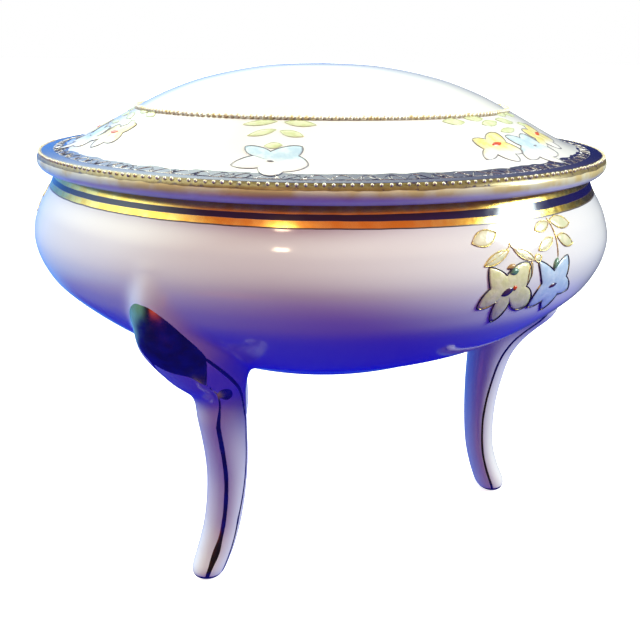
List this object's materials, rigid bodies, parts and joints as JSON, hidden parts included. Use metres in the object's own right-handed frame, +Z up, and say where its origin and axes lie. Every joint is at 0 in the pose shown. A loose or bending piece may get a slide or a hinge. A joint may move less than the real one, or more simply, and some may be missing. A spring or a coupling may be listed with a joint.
{
  "type": "footed trinket box",
  "caption": "Round porcelain trinket box on cabriole legs, with a domed lift-off lid, gilt edges, a dark blue border and raised enamel flower sprays.",
  "frame": {"origin": "on the floor, under the bowl's centre", "axes": "+Z up; -Y towards the front leg"},
  "size_m": [0.128, 0.1285, 0.1061],
  "materials": {
    "porcelain": "clear glossy glaze over warm white porcelain, painted with cobalt blue and gilt bands",
    "gold": "worn polished gilding over raised beading",
    "blue_enamel": "pale blue raised enamel, outlined in gilt",
    "yellow_enamel": "pale yellow raised enamel, outlined in gilt"
  },
  "bodies": {
    "base": {"bowl": "porcelain", "bowl_spray_1_blue_flower": "blue_enamel", "bowl_spray_1_yellow_flower": "yellow_enamel", "bowl_spray_2_blue_flower": "blue_enamel", "bowl_spray_2_yellow_flower": "yellow_enamel", "bowl_spray_3_blue_flower": "blue_enamel", "bowl_spray_3_yellow_flower": "yellow_enamel", "leg_front": "porcelain", "leg_left": "porcelain", "leg_right": "porcelain"},
    "lid": {"lid": "porcelain", "lid_flange": "porcelain", "lid_spray_1_blue_flower": "blue_enamel", "lid_spray_2_blue_flower": "blue_enamel", "lid_spray_2_left_flower": "yellow_enamel", "lid_spray_2_right_flower": "yellow_enamel", "lid_spray_3_blue_flower": "blue_enamel", "lid_spray_4_blue_flower": "blue_enamel", "lid_spray_4_left_flower": "yellow_enamel", "lid_spray_4_right_flower": "yellow_enamel", "lid_spray_5_blue_flower": "blue_enamel", "lid_spray_6_blue_flower": "blue_enamel", "lid_spray_6_left_flower": "yellow_enamel", "lid_spray_6_right_flower": "yellow_enamel", "rim_beading": "gold", "shoulder_beading": "gold"}
  },
  "joints": [
    {"name": "lid_lift", "type": "slide", "parent": "base", "child": "lid", "axis": [0, 0, 1], "range_m": [0, 0.06]}
  ]
}
